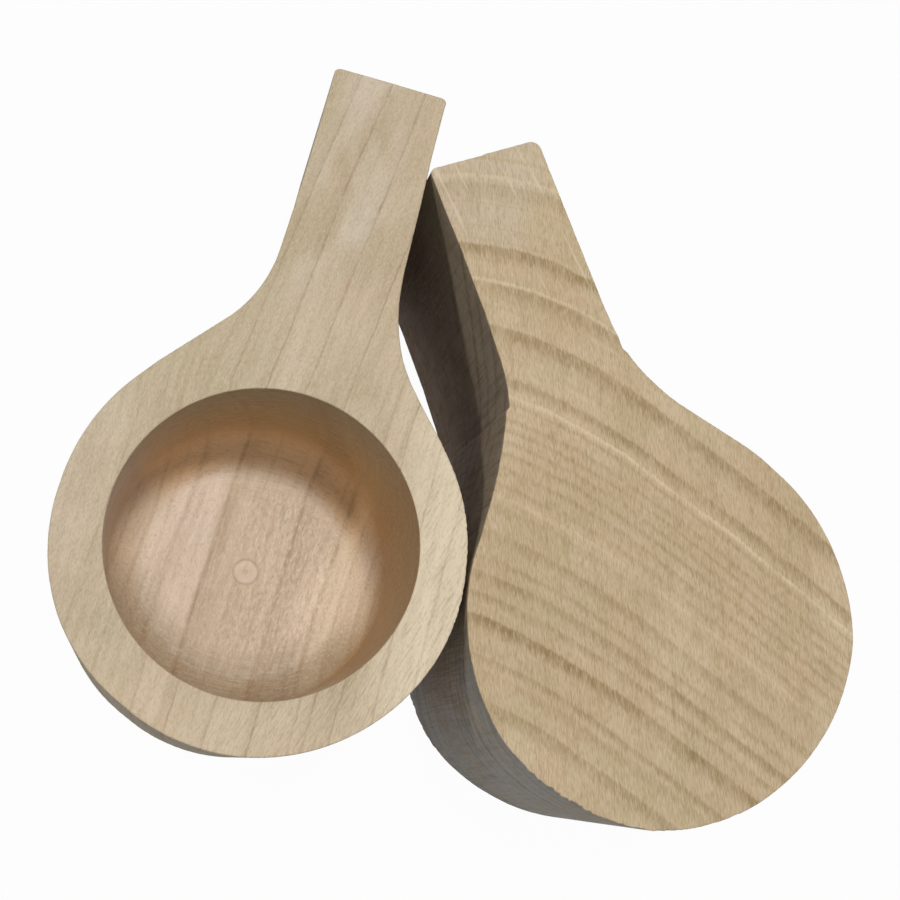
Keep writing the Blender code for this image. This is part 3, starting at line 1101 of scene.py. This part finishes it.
def make_floor():
    """A floor that the camera sees as nearly white, with a faint shadow, and that throws back less light."""
    half = FLOOR_SIZE / 2
    mesh = bpy.data.meshes.new("floor")
    corners = [(-half, -half, 0.0), (half, -half, 0.0), (half, half, 0.0), (-half, half, 0.0)]
    mesh.from_pydata(corners, [], [(0, 1, 2, 3)])
    floor = bpy.data.objects.new("floor", mesh)
    bpy.context.scene.collection.objects.link(floor)
    material = bpy.data.materials.new("floor")
    material.use_nodes = True
    nodes, links = material.node_tree.nodes, material.node_tree.links
    plain = nodes["Principled BSDF"]
    plain.inputs["Base Color"].default_value = FLOOR_COLOUR
    plain.inputs["Roughness"].default_value = FLOOR_ROUGHNESS
    white = nodes.new("ShaderNodeEmission")
    share = nodes.new("ShaderNodeMath")
    share.operation = "MULTIPLY"
    links.new(seen_directly(nodes, links), share.inputs[0])
    share.inputs[1].default_value = FLOOR_GLOW
    both = nodes.new("ShaderNodeMixShader")
    links.new(share.outputs[0], both.inputs[0])
    links.new(plain.outputs[0], both.inputs[1])
    links.new(white.outputs[0], both.inputs[2])
    links.new(both.outputs[0], nodes["Material Output"].inputs["Surface"])
    mesh.materials.append(material)


# Cups in their places

def face_down_place(body_radius, handle_width, handle_reach):
    """Centre and turn of the flipped cup, touching the other at body and handle."""
    apart = BODY_RADIUS + body_radius + CONTACT_GAP
    centre_x = apart * math.cos(BESIDE_ANGLE)
    centre_y = apart * math.sin(BESIDE_ANGLE)
    corner_x = handle_width / 2 - HANDLE_CORNER_RADIUS
    corner_y = handle_reach - HANDLE_CORNER_RADIUS
    swing = centre_x - HANDLE_WIDTH / 2 - CONTACT_GAP - HANDLE_CORNER_RADIUS
    turn = math.asin(swing / math.hypot(corner_x, corner_y)) - math.atan2(corner_x, corner_y)
    return centre_x, centre_y, turn


def cup_materials(name, grain, tables, face, bowl, shades):
    """The four woods of a cup by zone; the shades are those of its sides."""
    under = wood(name + "_under", grain, tables, SAWN, sawn_shades, sawn_marks)
    dark_rings, _ = tables
    side = wood(name + "_side", grain, (dark_rings, ()), SIDE, shades, saw_lines)
    return {"under": under, "side": side, "face": face, "bowl": bowl}


def make_face_up():
    """The cup that lies with its planed face and its bowl up."""
    corners = (HANDLE_CORNER_RADIUS, HANDLE_CORNER_RADIUS)
    outline, along = cup_outline(BODY_RADIUS, HANDLE_WIDTH, HANDLE_REACH, *corners)
    outline = slanted_end(outline, END_SLANT)
    off_line = wander(along, UP_LEFT_WANDER, UP_RIGHT_WANDER)
    rings, zones = cup_rings(outline, along, off_line, 0.0, UP_SEED)
    tables = (STRAIGHT_RINGS, ())
    face = wood("up_face", straight_grain, tables, PLANED, planed_shades, planed_marks)
    bowl = wood("up_bowl", bowl_grain, (BOWL_RINGS, ()), TURNED, bowl_shades, turning_marks)
    materials = cup_materials("up", straight_grain, tables, face, bowl, None)
    cup = cup_object("face_up_cup", rings, zones, lambda points: points, materials)
    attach(cup, "face_up")
    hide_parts("kuksa_face_up")


def make_face_down():
    """The cup that lies beside it with its sawn underside up."""
    body_radius = BODY_RADIUS + FACE_DOWN_BODY_EXTRA
    handle_width = HANDLE_WIDTH + FACE_DOWN_WIDTH_EXTRA
    handle_reach = HANDLE_REACH + FACE_DOWN_REACH_EXTRA
    centre_x, centre_y, turn = face_down_place(body_radius, handle_width, handle_reach)
    cosine, sine = math.cos(turn), math.sin(turn)

    def flipped(points):
        x, y, z = -points[:, 0], points[:, 1], HEIGHT - points[:, 2]
        return np.column_stack([centre_x + x * cosine - y * sine, centre_y + x * sine + y * cosine, z])

    corners = (WORN_CORNER_RADIUS, NEAR_CORNER_RADIUS)
    outline, along = cup_outline(body_radius, handle_width, handle_reach, *corners)
    off_line = wander(along, DOWN_LEFT_WANDER, DOWN_RIGHT_WANDER)
    spread = wander(along, NO_SPREAD, DOWN_SPREAD)
    rings, zones = cup_rings(outline, along, off_line, spread, DOWN_SEED)
    tables = (ARCHED_RINGS, ARCHED_PALE_RINGS)
    face = wood("down_face", arched_grain, tables, PLANED)
    bowl = wood("down_bowl", arched_grain, tables, TURNED)
    materials = cup_materials("down", arched_grain, tables, face, bowl, side_shades)
    cup = cup_object("face_down_cup", rings, zones, flipped, materials)
    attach(cup, "face_down")
    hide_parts("kuksa_face_down")


make_camera()
make_lamp("key", KEY_PLACE, KEY_SIZE, KEY_POWER, KEY_COLOUR)
make_lamp("fill", FILL_PLACE, FILL_SIZE, FILL_POWER, FILL_COLOUR)
make_lamp("near", NEAR_PLACE, NEAR_SIZE, NEAR_POWER, NEAR_COLOUR)
make_sky()
make_floor()
make_face_up()
make_face_down()

bpy.context.scene.view_settings.view_transform = "Standard"
